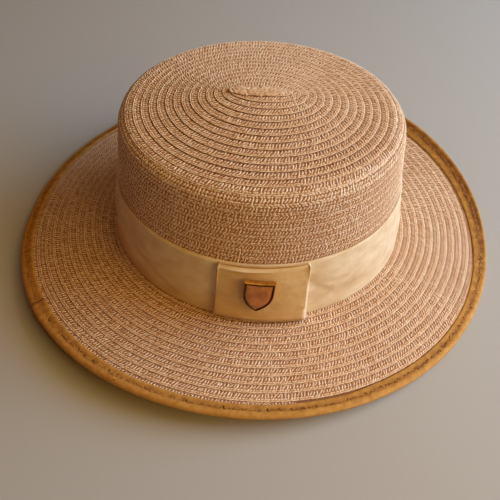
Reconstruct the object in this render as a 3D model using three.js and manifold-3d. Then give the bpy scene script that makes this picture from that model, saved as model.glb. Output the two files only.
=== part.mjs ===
// A straw boater hat of sewn paper braid, with a ribbon band, a flat ribbon bow that carries a small
// metal badge, and a tape binding on the brim. Millimetres, +Z up. The hat rests on its brim, and the
// origin is on the ground under its middle. The head's long way is X, and the bow faces -Y.
import * as THREE from "three";
import { mergeVertices } from "three/addons/utils/BufferGeometryUtils.js";
import Module from "manifold-3d";

// Driving dimensions of the head oval, outside the straw where the crown meets the brim
const CROWN_LENGTH = 198;
const CROWN_WIDTH = 174;

// Crown
const CROWN_HEIGHT = 105;
const CROWN_TAPER = 11.6; // how far each side leans in by the top of the shoulder
const SHOULDER_RADIUS = 9;
const TIP_DOME = 8.7; // how far the middle of the top, a low cone, stands above the shoulder
const TIP_ROUND = 10; // how far out the rounding of its middle reaches

// Sewn braid: each row overlaps the next one out, so its outer edge is a small step
const STRAW_WALL = 2;
const TIP_BRAID_PITCH = 4.9;
const SIDE_BRAID_PITCH = 5.6;
const BRIM_BRAID_PITCH = 5.4;
const BRAID_STEP = 0.8;
const BRAID_STEP_RUN = 0.3;
const FIRST_ROW = 3; // half width of the folded start of the braid

// Brim: it falls away from the crown, further at the two ends than at the front and back
const BRIM_WIDTH = 68.6; // to the outside of the binding
const BRIM_SKEW = 2.4; // how much wider two opposite quarters are, and narrower the other two
const BRIM_DROP = 5.4;
const BRIM_DROP_WAVE = 7.7;
const BRIM_DROP_MOST = 11.5; // the two ends are flat where they rest
const BRIM_WAVE_TURN = THREE.MathUtils.degToRad(-21);
const BRIM_CURVE = 1.6; // 1 is a straight cone, and more bends further out

// Tape folded over the brim's edge
const BINDING_WIDTH = 9;
const BINDING_FOOT = 2.5; // width of the flat that rests on the ground

// Ribbon and tape
const CLOTH_WALL = 1;
const BAND_WIDTH = 47;

// Bow: a flat loop of the same ribbon, sewn on the band a little to one side of the middle
const BOW_FOOT_WIDTH = 56.5;
const BOW_TOP_WIDTH = 53;
const BOW_DEPTH = 4;
const BOW_SIDE = 4.8;
const BOW_SLANT = 1; // how far its upper edge lies to the right of the lower one
const BOW_FOOT = 4; // height of the left end of its lower edge above the brim
const BOW_HANG = 2.5; // how far the right end of that edge hangs below the left one
const BOW_TOP = BAND_WIDTH - 0.5;
const BOW_BULGE_FOOT = 0.3; // how far the middle of its lower edge stands out past its ends
const BOW_BULGE_TOP = 1.5;

// Badge: a cast shield with a raised rim round an enamel field, on a riveted post
const BADGE_WIDTH = 18.6;
const BADGE_HEIGHT = 25.5;
const BADGE_UP = 28.9; // height of its middle above the brim
const BADGE_SIDE = -2.5; // and how far that is along from the bow's middle
const BADGE_TURN = THREE.MathUtils.degToRad(-4);
const BADGE_SHOULDER = 1 / 8; // how far up from its middle its sides turn in, as a share of its height
const BADGE_SIDE_PULL = 0.34; // pull of the flank's curve at the side, as a share of the foot's depth
const BADGE_FOOT_PULL = { across: 0.62, down: 0.72 }; // and at the foot, as shares of half width and depth
const BADGE_POINT_INSET = 1.3; // how much more an inset shortens the pointed foot than the sides
const BADGE_THICKNESS = 3.4;
const BADGE_BEVEL = 0.5;
const BADGE_RIM = 1.7;
const BADGE_RECESS = 1;
const ENAMEL_THICKNESS = 0.5;
const POST_RADIUS = 1;
const POST_HEAD_RADIUS = 3;
const POST_HEAD_THICKNESS = 0.8;

// Clearance between neighbouring pieces
const GAP = 0.3;

// Facets
const ROUND_STEPS = 44;
const INSIDE_STEPS = 14;
const BOW_STEPS = 10;
const BOW_END_STEPS = 4;
const POST_SIDES = 16;
const BADGE_STEPS = 6;

// Worked-out sizes
const STRETCH = (CROWN_LENGTH - CROWN_WIDTH) / 2;
const BASE_RADIUS = CROWN_WIDTH / 2;
const TIP_ARC = Math.hypot(BASE_RADIUS - CROWN_TAPER - SHOULDER_RADIUS, TIP_DOME);
const STRAW_EDGE = BRIM_WIDTH - CLOTH_WALL - GAP;
const BINDING_STACK = CLOTH_WALL + GAP;
const BASE_HEIGHT = BRIM_DROP_MOST + STRAW_WALL + BINDING_STACK;
const BOW_BACK = GAP + CLOTH_WALL + GAP;
const FRONT = -Math.PI / 2;
const QUARTER_TURN_PULL = 0.55; // pull that makes a curve's quarter turn nearly round

const wasm = await Module();
wasm.setup();

const straw = { color: "#c6945f", roughness: 0.85, metalness: 0 };
const satin = { color: "#dcbf86", roughness: 0.45, metalness: 0 };
const tape = { color: "#9a6524", roughness: 0.55, metalness: 0 };
const bronze = { color: "#5d3d1a", roughness: 0.35, metalness: 0.9 };
const enamel = { color: "#a8692a", roughness: 0.3, metalness: 0.1 };

function piece(name, geometry, finish) {
  const made = new THREE.Mesh(geometry, new THREE.MeshStandardMaterial(finish));
  made.name = name;
  made.geometry.computeVertexNormals();
  return made;
}

// A point of the head oval whose half width is radius, at one bearing. Every oval keeps the same
// stretch along X, as each row of braid adds its width all round.
function ovalPoint(bearing, radius, height) {
  const length = STRETCH + radius;
  return new THREE.Vector3(length * Math.cos(bearing), radius * Math.sin(bearing), height);
}

function bearings() {
  return Array.from({ length: ROUND_STEPS }, (_, step) => (2 * Math.PI * step) / ROUND_STEPS);
}

function ovalRing(radius, height) {
  return bearings().map((bearing) => ovalPoint(bearing, radius, height));
}

// A closed surface through rings of equal length, each counter-clockwise from above. A looped chain
// joins its last ring to its first, and an open one is capped at both ends.
function skin(rings, looped) {
  const count = rings[0].length;
  const points = rings.flat();
  const faces = [];
  const joins = looped ? rings.length : rings.length - 1;
  for (let ring = 0; ring < joins; ring++) {
    const here = ring * count;
    const there = ((ring + 1) % rings.length) * count;
    for (let step = 0; step < count; step++) {
      const next = (step + 1) % count;
      faces.push(here + step, here + next, there + step);
      faces.push(here + next, there + next, there + step);
    }
  }
  if (!looped) {
    const last = (rings.length - 1) * count;
    const first = points.push(middle(rings[0])) - 1;
    const end = points.push(middle(rings.at(-1))) - 1;
    for (let step = 0; step < count; step++) {
      const next = (step + 1) % count;
      faces.push(first, next, step);
      faces.push(end, last + step, last + next);
    }
  }
  return new THREE.BufferGeometry().setFromPoints(points).setIndex(faces);
}

function middle(ring) {
  return ring.reduce((sum, point) => sum.add(point), new THREE.Vector3()).divideScalar(ring.length);
}

function solid(geometry) {
  const bare = new THREE.BufferGeometry();
  bare.setAttribute("position", geometry.getAttribute("position"));
  bare.setIndex(geometry.index);
  const merged = mergeVertices(bare);
  return new wasm.Manifold(
    new wasm.Mesh({
      numProp: 3,
      vertProperties: merged.getAttribute("position").array,
      triVerts: new Uint32Array(merged.index.array),
    }),
  );
}

function geometryOf(made) {
  const mesh = made.getMesh();
  return new THREE.BufferGeometry()
    .setAttribute("position", new THREE.BufferAttribute(mesh.vertProperties, 3))
    .setIndex(new THREE.BufferAttribute(mesh.triVerts, 1));
}

// The crown's outside line, as half width and height above the brim, from the middle of the top
// down to the brim: a low cone with a rounded middle, a round shoulder and a straight side.
function crownLine() {
  const lean = CROWN_TAPER / (CROWN_HEIGHT - TIP_DOME - SHOULDER_RADIUS);
  const side = BASE_RADIUS - CROWN_TAPER;
  const tip = side - SHOULDER_RADIUS;
  const shoulderTop = CROWN_HEIGHT - TIP_DOME;
  const tipSlope = TIP_DOME / tip;
  const handle = QUARTER_TURN_PULL * SHOULDER_RADIUS;
  const line = new THREE.Path();
  line.moveTo(0, CROWN_HEIGHT);
  line.bezierCurveTo(TIP_ROUND, CROWN_HEIGHT, tip / 2, (CROWN_HEIGHT + shoulderTop) / 2, tip, shoulderTop);
  line.bezierCurveTo(
    tip + handle,
    shoulderTop - handle * tipSlope,
    side - handle * lean,
    shoulderTop - SHOULDER_RADIUS + handle,
    side,
    shoulderTop - SHOULDER_RADIUS,
  );
  line.lineTo(BASE_RADIUS, 0);
  return line;
}

const CROWN_LINE = crownLine();
const CROWN_ARC = CROWN_LINE.getLength();

// A ring of the crown at one distance along its line from the top, stood out by an offset
function crownRing(distance, offset) {
  const share = Math.min(distance / CROWN_ARC, 1);
  const at = CROWN_LINE.getPointAt(share);
  const along = CROWN_LINE.getTangentAt(share);
  return ovalRing(at.x - along.y * offset, BASE_HEIGHT + GAP + at.y + along.x * offset);
}

// Half width of the crown's outside at a height above the brim, on its straight side
function sideRadius(height) {
  return BASE_RADIUS - (CROWN_TAPER * height) / (CROWN_HEIGHT - TIP_DOME - SHOULDER_RADIUS);
}

// Shell with braid rows on the outside, down to the top of the band that covers the rest
function crown() {
  const braidEnd = CROWN_ARC - BAND_WIDTH - SIDE_BRAID_PITCH / 2;
  const outside = [crownRing(FIRST_ROW, BRAID_STEP)];
  let edge = FIRST_ROW;
  while (edge < braidEnd) {
    outside.push(crownRing(edge + BRAID_STEP_RUN, 0));
    edge += edge < TIP_ARC ? TIP_BRAID_PITCH : SIDE_BRAID_PITCH;
    outside.push(crownRing(Math.min(edge, braidEnd), BRAID_STEP));
  }
  outside.push(crownRing(braidEnd + BRAID_STEP_RUN, 0), crownRing(CROWN_ARC, 0));
  const inside = [];
  for (let step = 0; step <= INSIDE_STEPS; step++) {
    const distance = THREE.MathUtils.lerp(FIRST_ROW, CROWN_ARC, step / INSIDE_STEPS);
    inside.push(crownRing(distance, -STRAW_WALL));
  }
  levelFoot(inside.at(-1));
  return skin([...inside, ...outside.reverse()], false);
}

// The crown's lower edge is cut level where it stands on the brim
function levelFoot(ring) {
  for (const point of ring) point.z = BASE_HEIGHT + GAP;
}

// How far the brim's edge has fallen below the crown's foot, at one bearing
function brimDrop(bearing) {
  const wave = BRIM_DROP_WAVE * Math.cos(2 * (bearing - BRIM_WAVE_TURN));
  return Math.min(BRIM_DROP + wave, BRIM_DROP_MOST);
}

// Height of the top of the brim's straw, at one bearing and distance out from the crown
function brimTop(bearing, out) {
  const share = Math.max(out, 0) / STRAW_EDGE;
  return BASE_HEIGHT - brimDrop(bearing) * Math.pow(share, BRIM_CURVE);
}

// Half width of the brim at one bearing, at what would be this distance out if all quarters were alike
function brimRadius(bearing, out) {
  const share = Math.max(out, 0) / BRIM_WIDTH;
  return BASE_RADIUS + out + BRIM_SKEW * share * share * Math.sin(2 * bearing);
}

// A ring of the brim at one distance out, above or below the top of its straw
function brimRing(out, above) {
  return bearings().map((bearing) =>
    ovalPoint(bearing, brimRadius(bearing, out), brimTop(bearing, out) + above),
  );
}

// Ring plate with braid rows on its top, out to the binding that covers the edge
function brim() {
  const braidEnd = BRIM_WIDTH - BINDING_WIDTH - GAP;
  const top = [brimRing(-STRAW_WALL, 0), brimRing(0, 0)];
  const rows = Math.ceil(braidEnd / BRIM_BRAID_PITCH);
  for (let row = 0; row < rows; row++) {
    const inner = row * BRIM_BRAID_PITCH;
    const outer = Math.min(inner + BRIM_BRAID_PITCH, braidEnd);
    top.push(brimRing(inner + BRAID_STEP_RUN + GAP, 0), brimRing(outer, BRAID_STEP));
  }
  top.push(brimRing(braidEnd + BRAID_STEP_RUN, 0), brimRing(STRAW_EDGE, 0));
  const under = [];
  for (let step = 0; step <= INSIDE_STEPS; step++) {
    const out = THREE.MathUtils.lerp(-STRAW_WALL, STRAW_EDGE, step / INSIDE_STEPS);
    under.push(brimRing(out, -STRAW_WALL));
  }
  return skin([...under, ...top.reverse()], true);
}

// Tape folded over the edge as a C, with a round nose and a level foot below it
function binding() {
  const inner = BRIM_WIDTH - BINDING_WIDTH;
  const nose = BRIM_WIDTH;
  const footEnd = nose - CLOTH_WALL;
  const footStart = footEnd - BINDING_FOOT;
  const below = -STRAW_WALL - BINDING_STACK;
  const edgeHeight = (bearing) => brimTop(bearing, STRAW_EDGE);
  const level = (out, above) =>
    bearings().map((bearing) =>
      ovalPoint(bearing, brimRadius(bearing, out), edgeHeight(bearing) + above),
    );
  return skin(
    [
      brimRing(inner, below),
      level(footStart, below),
      level(footEnd, below),
      level(nose, below / 2 - CLOTH_WALL / 2),
      level(nose, CLOTH_WALL / 2 - GAP),
      level(footEnd, BINDING_STACK),
      brimRing(inner, BINDING_STACK),
      brimRing(inner, GAP),
      level(STRAW_EDGE + GAP, GAP),
      level(STRAW_EDGE + GAP, -STRAW_WALL - GAP),
      brimRing(inner, -STRAW_WALL - GAP),
    ],
    true,
  );
}

// Ribbon round the foot of the crown
function band() {
  const foot = BRAID_STEP + GAP;
  const ring = (height, offset) =>
    ovalRing(sideRadius(height) + offset, BASE_HEIGHT + GAP + height);
  return skin(
    [
      ring(foot, GAP),
      ring(foot, GAP + CLOTH_WALL),
      ring(BAND_WIDTH, GAP + CLOTH_WALL),
      ring(BAND_WIDTH, GAP),
    ],
    true,
  );
}

// The bow's outline seen from above, as distance along the band from the front and distance out
// from the crown, at one inset from its outside, one width and one bulge of its front
function bowOutline(inset, width, bulge) {
  const end = BOW_DEPTH / 2;
  const straight = width / 2 - end;
  const round = end - inset;
  const centre = BOW_BACK + end;
  const outline = [];
  for (let step = 0; step <= BOW_STEPS; step++) {
    const along = THREE.MathUtils.lerp(-straight, straight, step / BOW_STEPS);
    outline.push([along, centre + round + bulge * (1 - (along / straight) ** 2)]);
  }
  for (let step = 1; step < BOW_END_STEPS; step++) {
    const turn = Math.PI / 2 - (Math.PI * step) / BOW_END_STEPS;
    outline.push([straight + round * Math.cos(turn), centre + round * Math.sin(turn)]);
  }
  for (let step = 0; step <= BOW_STEPS; step++) {
    outline.push([THREE.MathUtils.lerp(straight, -straight, step / BOW_STEPS), centre - round]);
  }
  for (let step = 1; step < BOW_END_STEPS; step++) {
    const turn = -Math.PI / 2 - (Math.PI * step) / BOW_END_STEPS;
    outline.push([-straight + round * Math.cos(turn), centre + round * Math.sin(turn)]);
  }
  return outline;
}

// A height above the brim as a share of the bow's height
function bowShare(height) {
  return (height - BOW_FOOT) / (BOW_TOP - BOW_FOOT);
}

// A point on the front of the crown, by distance along the band from the bow's middle, height above
// the brim and distance out
function frontPoint(along, height, out) {
  const radius = sideRadius(height);
  const lean = BOW_SLANT * (bowShare(height) - 1 / 2);
  const turn = (BOW_SIDE + lean + along) / (STRETCH + radius);
  return ovalPoint(FRONT + turn, radius + out, BASE_HEIGHT + GAP + height);
}

// How far the middle of the bow's front stands out from the crown at a height above the brim
function bowFace(height) {
  const bulge = THREE.MathUtils.lerp(BOW_BULGE_FOOT, BOW_BULGE_TOP, bowShare(height));
  return BOW_BACK + BOW_DEPTH + bulge;
}

// Where the badge sits: its back lies on the bow's front, and leans and turns with it
function badgePlace() {
  const reach = (height) => sideRadius(height) + bowFace(height);
  const lean = Math.atan2(reach(BOW_FOOT) - reach(BOW_TOP), BOW_TOP - BOW_FOOT);
  const length = STRETCH + reach(BADGE_UP);
  const turn = Math.atan((Math.tan((BOW_SIDE + BADGE_SIDE) / length) * reach(BADGE_UP)) / length);
  const place = new THREE.Group();
  place.position.copy(frontPoint(BADGE_SIDE, BADGE_UP, bowFace(BADGE_UP) + GAP));
  place.rotation.set(Math.PI / 2 - lean, 0, turn, "ZXY");
  place.rotateZ(BADGE_TURN);
  place.updateMatrix();
  return place;
}

function post(radius, back, front) {
  const rod = new THREE.CylinderGeometry(radius, radius, front - back, POST_SIDES);
  rod.rotateX(Math.PI / 2);
  rod.translate(0, 0, (back + front) / 2);
  rod.deleteAttribute("normal");
  rod.deleteAttribute("uv");
  return solid(rod);
}

// Flat loop of ribbon, open at the top and bottom, with a hole for the badge's post
function bow(place) {
  const ring = (inset, height, width, bulge, hang = 0) =>
    bowOutline(inset, width, bulge).map(([along, out]) =>
      frontPoint(along, height - hang * (along / width + 1 / 2), out),
    );
  const loop = skin(
    [
      ring(0, BOW_FOOT, BOW_FOOT_WIDTH, BOW_BULGE_FOOT, BOW_HANG),
      ring(0, BOW_TOP, BOW_TOP_WIDTH, BOW_BULGE_TOP),
      ring(CLOTH_WALL, BOW_TOP, BOW_TOP_WIDTH, BOW_BULGE_TOP),
      ring(CLOTH_WALL, BOW_FOOT, BOW_FOOT_WIDTH, BOW_BULGE_FOOT, BOW_HANG),
    ],
    true,
  );
  const drill = post(POST_RADIUS + GAP, -BOW_DEPTH / 2, BOW_DEPTH).transform(place.matrix.toArray());
  return geometryOf(solid(loop).subtract(drill));
}

// A shield's outline at one inset and height: a level top, upright shoulders and two arcs that meet
// in a point at the foot
function shield(inset, height) {
  const half = BADGE_WIDTH / 2 - inset;
  const top = BADGE_HEIGHT / 2 - inset;
  const foot = -BADGE_HEIGHT / 2 + inset * BADGE_POINT_INSET;
  const shoulder = BADGE_HEIGHT * BADGE_SHOULDER;
  const across = half * BADGE_FOOT_PULL.across;
  const down = foot * BADGE_FOOT_PULL.down;
  const side = foot * BADGE_SIDE_PULL;
  const outline = new THREE.Path();
  outline.moveTo(0, foot);
  outline.bezierCurveTo(across, down, half, side, half, shoulder);
  outline.lineTo(half, top);
  outline.lineTo(-half, top);
  outline.lineTo(-half, shoulder);
  outline.bezierCurveTo(-half, side, -across, down, 0, foot);
  return outline
    .getPoints(BADGE_STEPS)
    .slice(0, -1)
    .map((point) => new THREE.Vector3(point.x, point.y, height));
}

function badge() {
  const face = BADGE_THICKNESS;
  const plate = skin(
    [
      shield(0, 0),
      shield(0, face - BADGE_BEVEL),
      shield(BADGE_BEVEL, face),
      shield(BADGE_RIM, face),
      shield(BADGE_RIM, face - BADGE_RECESS),
    ],
    false,
  );
  const headFront = -2 * GAP - CLOTH_WALL;
  const rod = post(POST_RADIUS, headFront - POST_HEAD_THICKNESS / 2, face / 4);
  const head = post(POST_HEAD_RADIUS, headFront - POST_HEAD_THICKNESS, headFront);
  return geometryOf(solid(plate).add(rod).add(head));
}

function badgeField() {
  const floor = BADGE_THICKNESS - BADGE_RECESS + GAP / 2;
  const inset = BADGE_RIM + GAP / 2;
  return skin([shield(inset, floor), shield(inset, floor + ENAMEL_THICKNESS)], false);
}

const hat = new THREE.Group();
const badgeGroup = badgePlace();
badgeGroup.add(piece("badge", badge(), bronze), piece("badge_field", badgeField(), enamel));
hat.add(
  piece("crown", crown(), straw),
  piece("brim", brim(), straw),
  piece("brim_binding", binding(), tape),
  piece("hat_band", band(), satin),
  piece("bow_loop", bow(badgeGroup), satin),
  badgeGroup,
);

export default hat;
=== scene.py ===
# A straw boater hat: sewn paper-straw braid, ribbon band and bow, a small shield badge and a bound brim.
# Metres, +Z up, the bow faces -Y, and the hat rests on its brim.
import math
from typing import NamedTuple

import bpy
import numpy as np
from mathutils import Matrix, Vector


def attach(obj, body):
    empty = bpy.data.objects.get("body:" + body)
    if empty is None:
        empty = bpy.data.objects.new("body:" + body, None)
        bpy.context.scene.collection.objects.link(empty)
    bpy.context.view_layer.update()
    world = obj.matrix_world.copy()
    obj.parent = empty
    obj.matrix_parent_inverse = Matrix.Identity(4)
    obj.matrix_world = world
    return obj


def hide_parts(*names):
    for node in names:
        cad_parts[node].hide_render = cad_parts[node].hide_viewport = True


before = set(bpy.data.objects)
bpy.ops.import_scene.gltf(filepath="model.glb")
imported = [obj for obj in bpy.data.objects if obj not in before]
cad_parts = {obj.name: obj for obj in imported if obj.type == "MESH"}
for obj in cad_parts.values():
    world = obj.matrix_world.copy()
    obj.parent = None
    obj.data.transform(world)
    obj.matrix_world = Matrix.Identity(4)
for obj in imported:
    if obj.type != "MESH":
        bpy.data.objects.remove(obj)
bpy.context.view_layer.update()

# Crown tape
# One long tape of plaited paper straw, wound from a folded start in the middle of the tip down to the
# brim. Each turn is sewn over the edge of the next, so every row ends in a small step.
crown_foot = 0.0151
crown_half_width = 0.087
crown_stretch = 0.012
crown_height = 0.105
crown_taper = 0.0116
shoulder = 0.009
shoulder_pull = 0.55
tip_dome = 0.0087
tip_round = 0.010
tip_points = 80
side_points = 60
tip_pitch = 0.0049
side_pitch = 0.0056
first_row = 0.0003
start_back = 0.0035
tape_width = 0.0074
tape_thickness = 0.00075
tape_edge_lift = 0.00005
braid_step = 0.0008
tip_relief = 0.84
side_relief = 0.15
crown_steps = 144
crown_inmost = 0.0002
first_turns_apart = 0.02
winding_points = 2000


def tone(red, green, blue):
    """A colour given as 0 to 255 on screen, for a shader."""
    return [((c / 255 + 0.055) / 1.055) ** 2.4 if c > 10 else c / 3295 for c in (red, green, blue)] + [1.0]


def add(tree, kind, values=None, **settings):
    """A node with its settings, whose inputs are numbers or the sockets that feed them."""
    made = tree.nodes.new(kind)
    for key, value in settings.items():
        setattr(made, key, value)
    for key, value in (values or {}).items():
        if isinstance(value, bpy.types.NodeSocket):
            tree.links.new(value, made.inputs[key])
        else:
            made.inputs[key].default_value = value
    return made


def bezier(controls, count):
    """Points of the curve that these control points pull."""
    share = np.linspace(0, 1, count)[:, None]
    points = [np.broadcast_to(np.array(c, float), (count, 2)) for c in controls]
    while len(points) > 1:
        points = [a * (1 - share) + b * share for a, b in zip(points, points[1:])]
    return points[0]


def run_along(points):
    """Distance along a line of points, from its first to each."""
    return np.r_[0, np.cumsum(np.linalg.norm(np.diff(points, axis=0), axis=1))]


def unit(ways):
    return ways / np.linalg.norm(ways, axis=1)[:, None]


def crown_outline():
    """Half width and height of the crown from the middle of the tip down to its foot."""
    top = crown_height - tip_dome
    side = crown_half_width - crown_taper
    tip = side - shoulder
    lean = crown_taper / (top - shoulder)
    handle = shoulder_pull * shoulder
    fall = tip_dome / tip
    halfway = (tip / 2, crown_height - tip_dome / 2)
    dome = bezier([(0, crown_height), (tip_round, crown_height), halfway, (tip, top)], tip_points)
    turn = bezier(
        [
            (tip, top),
            (tip + handle, top - handle * fall),
            (side - handle * lean, top - shoulder + handle),
            (side, top - shoulder),
        ],
        side_points,
    )
    wall = bezier([(side, top - shoulder), (crown_half_width, 0)], side_points)
    return np.vstack([dome, turn[1:], wall[1:]])


crown_line = crown_outline()
crown_run = run_along(crown_line)
crown_way = unit(np.gradient(crown_line, crown_run, axis=0))


def oval(radius, bearing, height):
    """Points round the hat, whose rings are circles drawn out along x."""
    across = (crown_stretch + radius) * np.cos(bearing)
    return np.stack([across, radius * np.sin(bearing), np.broadcast_to(height, across.shape)], axis=-1)


def crown_skin(bearing, distance, lift):
    """Points of the crown, by bearing, distance down its outline and height off its surface. The rows of the
    tip lie round a start that is a little behind the middle."""
    radius, height = (np.interp(distance, crown_run, c) for c in crown_line.T)
    out, up = (np.interp(distance, crown_run, c) for c in crown_way.T)
    points = oval(np.maximum(radius - up * lift, 0), bearing, crown_foot + height + out * lift)
    points[..., 1] += start_back * np.clip(1 - distance / tip_end, 0, 1)
    return points


tip_end = float(crown_run[tip_points - 1])
shoulder_end = float(crown_run[tip_points + side_points - 2])


def crown_relief(distance):
    """How much of its step a row keeps: most on the tip, and little on the side, which is pressed flat."""
    return np.interp(distance, [tip_end, shoulder_end + side_pitch], [tip_relief, side_relief])


def crown_pitch(distance):
    """Width of a row that shows: rows overlap more on the tip than on the side."""
    return np.interp(distance, [tip_end, shoulder_end], [tip_pitch, side_pitch])


class Winding(NamedTuple):
    """A tape's turns: the surface they lie on, the step and width of a row at an edge, and the first and last
    edge."""

    skin: object
    relief: object
    pitch: object
    start: float
    end: float

    def turns(self):
        """Edges of the rows, and the number of turns from the start to each."""
        edges = np.linspace(self.start, self.end, winding_points)
        pitch = self.pitch(edges)
        return edges, np.r_[0, np.cumsum(np.diff(edges) * 2 / (pitch[1:] + pitch[:-1]))]

    def tilt(self, edge):
        """How steeply the tape of a row slopes down inwards."""
        return braid_step * self.relief(edge) / self.pitch(edge)

    def height(self, edge, inset):
        """Height of the tape's middle at a distance in from the edge of its row."""
        return tape_edge_lift + inset * self.tilt(edge)


def tape_section():
    """The tape's section, as distance in from its outer edge and height off its slope, going round it."""
    half = tape_thickness / 2
    shape = [
        (0.0, 0.0), (-0.0003, 0.9), (-0.0018, 1.0), (-0.0042, 1.0), (-0.0068, 0.95),
        (-tape_width, 0.0), (-0.0068, -1.0), (-0.0034, -1.0), (-0.0004, -0.9),
    ]
    return [(v, h * half) for v, h in shape]


def in_scene(name, data):
    """An object in the scene."""
    made = bpy.data.objects.new(name, data)
    bpy.context.scene.collection.objects.link(made)
    return made


def mesh_piece(name, points, faces, finish, corner_uv=None):
    """A piece from points and faces, with an optional UV pair for each face corner."""
    mesh = bpy.data.meshes.new(name)
    mesh.from_pydata(np.asarray(points).tolist(), [], [list(face) for face in faces])
    if corner_uv is not None:
        mesh.uv_layers.new(name="along").data.foreach_set("uv", np.asarray(corner_uv, float).ravel())
    mesh.shade_smooth()
    mesh.materials.append(finish)
    return in_scene(name, mesh)


def mark(made, label, values):
    """Gives each point of a piece a value that its finish reads."""
    made.data.attributes.new(label, "FLOAT", "POINT").data.foreach_set("value", values)


def quad_corners(along, across):
    """The four corners of each face of a grid, as places along it and across it."""
    here, side = (grid.ravel() for grid in np.meshgrid(np.arange(along), np.arange(across), indexing="ij"))
    return [(here, side), (here + 1, side), (here + 1, side + 1), (here, side + 1)]


def wound_tape(name, winding, steps, floor, finish):
    """The tape wound on a surface, one turn a row further out than the one before."""
    section = tape_section()
    edges, turns = winding.turns()
    count = int(turns[-1] * steps) + 1
    bearing = 2 * math.pi * np.arange(count) / steps
    edge = np.interp(np.arange(count) / steps, turns, edges)
    inmost = floor + first_turns_apart * (edge - winding.start)
    lines = [
        winding.skin(bearing, np.maximum(edge + v, inmost), h + winding.height(edge, v)) for v, h in section
    ]
    points = np.stack(lines, 1)
    run = run_along(points[:, 0])
    girth = run_along(section + section[:1])
    pitch = winding.pitch(edge)
    across = len(section)
    corners = quad_corners(count - 1, across)
    faces = np.stack([here * across + side % across for here, side in corners], 1)
    uv = np.stack([np.stack([run[here], girth[side] / pitch[here]], 1) for here, side in corners], 1)
    ends = [list(range(across)), [(count - 1) * across + i for i in range(across)][::-1]]
    corner_uv = np.vstack([uv.reshape(-1, 2), np.zeros((2 * across, 2))])
    made = mesh_piece(name, points.reshape(-1, 3), faces.tolist() + ends, finish, corner_uv)
    mark(made, "row_relief", np.repeat(winding.relief(edge), across))
    return made


def reckon(tree, operation, *values):
    """One sum with numbers or sockets."""
    return add(tree, "ShaderNodeMath", dict(enumerate(values)), operation=operation).outputs[0]


def mul_add(tree, value, times, plus=0.0):
    return reckon(tree, "MULTIPLY_ADD", value, times, plus)


def ramp_of(tree, factor, stops):
    """A colour ramp through stops of a position and a screen colour."""
    made = add(tree, "ShaderNodeValToRGB", {"Fac": factor})
    stop = made.color_ramp.elements
    while len(stop) < len(stops):
        stop.new(1.0)
    for element, (position, *colour) in zip(stop, stops):
        element.position = position
        element.color = tone(*colour)
    return made.outputs["Color"]


def mix_colours(tree, share, first, second):
    """The first colour, with a share of the second over it."""
    made = add(tree, "ShaderNodeMix", {0: share, 6: first, 7: second}, data_type="RGBA")
    return made.outputs[2]


def noise(tree, scale, detail, place=None):
    """Cloudy noise in the space of the hat, or of another place where one is given."""
    place = place or add(tree, "ShaderNodeTexCoord").outputs["Object"]
    made = add(tree, "ShaderNodeTexNoise", {"Vector": place, "Scale": scale, "Detail": detail})
    return made.outputs["Fac"]


def place_along(tree):
    """Place on a tape or ribbon, along it and across it."""
    return add(tree, "ShaderNodeUVMap", uv_map="along").outputs["UV"]


def map_range(tree, value, low, high):
    """0 to 1 as a value goes from low to high."""
    return add(tree, "ShaderNodeMapRange", {"Value": value, "From Min": low, "From Max": high}).outputs[0]


def attribute(tree, name):
    return add(tree, "ShaderNodeAttribute", attribute_name=name).outputs["Fac"]


def bumps(tree, height, distance, strength, over=None):
    """Fine relief by the height of a pattern, over a coarser relief where one is given."""
    made = add(tree, "ShaderNodeBump", {"Height": height, "Distance": distance, "Strength": strength})
    if over is not None:
        tree.links.new(over, made.inputs["Normal"])
    return made.outputs[0]


def new_finish(name, roughness, specular, **others):
    """A material and its node tree, with the shader's numbers set."""
    made = bpy.data.materials.new(name)
    made.use_nodes = True
    numbers = {"Roughness": roughness, "Specular IOR Level": specular, **others}
    for label, number in numbers.items():
        made.node_tree.nodes["Principled BSDF"].inputs[label].default_value = number
    return made, made.node_tree


def finished(made, colour, relief=None):
    """The material, with its shader fed its colour and, where there is one, its relief."""
    inputs = made.node_tree.nodes["Principled BSDF"].inputs
    made.node_tree.links.new(colour, inputs["Base Color"])
    if relief is not None:
        made.node_tree.links.new(relief, inputs["Normal"])
    return made


def straw_tape_finish():
    """Flat plaited straw seen between the raised strands, paler along the row's outer edge. Its colour holds
    painted shade: brown in the pits towards the row's inner side, and dark in the groove where the row before
    lies over this one, most where the row keeps most of its step."""
    made, tree = new_finish("straw_tape", 0.8, 0.2)
    # Painted shade colours: the pits on the side and on the tip, and the groove.
    side_pit_shade, tip_pit_shade, groove_shade_brown = tone(166, 117, 77), tone(152, 106, 70), tone(92, 48, 22)
    inset = add(tree, "ShaderNodeSeparateXYZ", {0: place_along(tree)}).outputs["Y"]
    grain = noise(tree, 700.0, 3.0)
    cloudy = mul_add(tree, noise(tree, 22.0, 2.0), 0.25, mul_add(tree, grain, 0.5))
    # Painted shade: darker towards the row's inner side, where the strands lie over the tape.
    shade = mul_add(tree, map_range(tree, inset, 0.12, 0.4), -0.28, cloudy)
    relief = attribute(tree, "row_relief")
    between = mix_colours(tree, map_range(tree, relief, 0.2, 0.5), side_pit_shade, tip_pit_shade)
    pale = ramp_of(tree, shade, [(0.22, 182, 136, 98), (0.5, 212, 172, 134)])
    pale = mix_colours(tree, map_range(tree, shade, 0.04, 0.26), between, pale)
    # Painted shade in the groove under the row before, scaled by how much of its step the row keeps.
    stepped = map_range(tree, relief, 0.35, 0.9)
    groove = reckon(tree, "SUBTRACT", map_range(tree, inset, 0.72, 0.92), map_range(tree, inset, 1.4, 1.5))
    colour = mix_colours(tree, reckon(tree, "MULTIPLY", groove, stepped), pale, groove_shade_brown)
    return finished(made, colour, bumps(tree, grain, 0.0004, 0.8))


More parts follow.
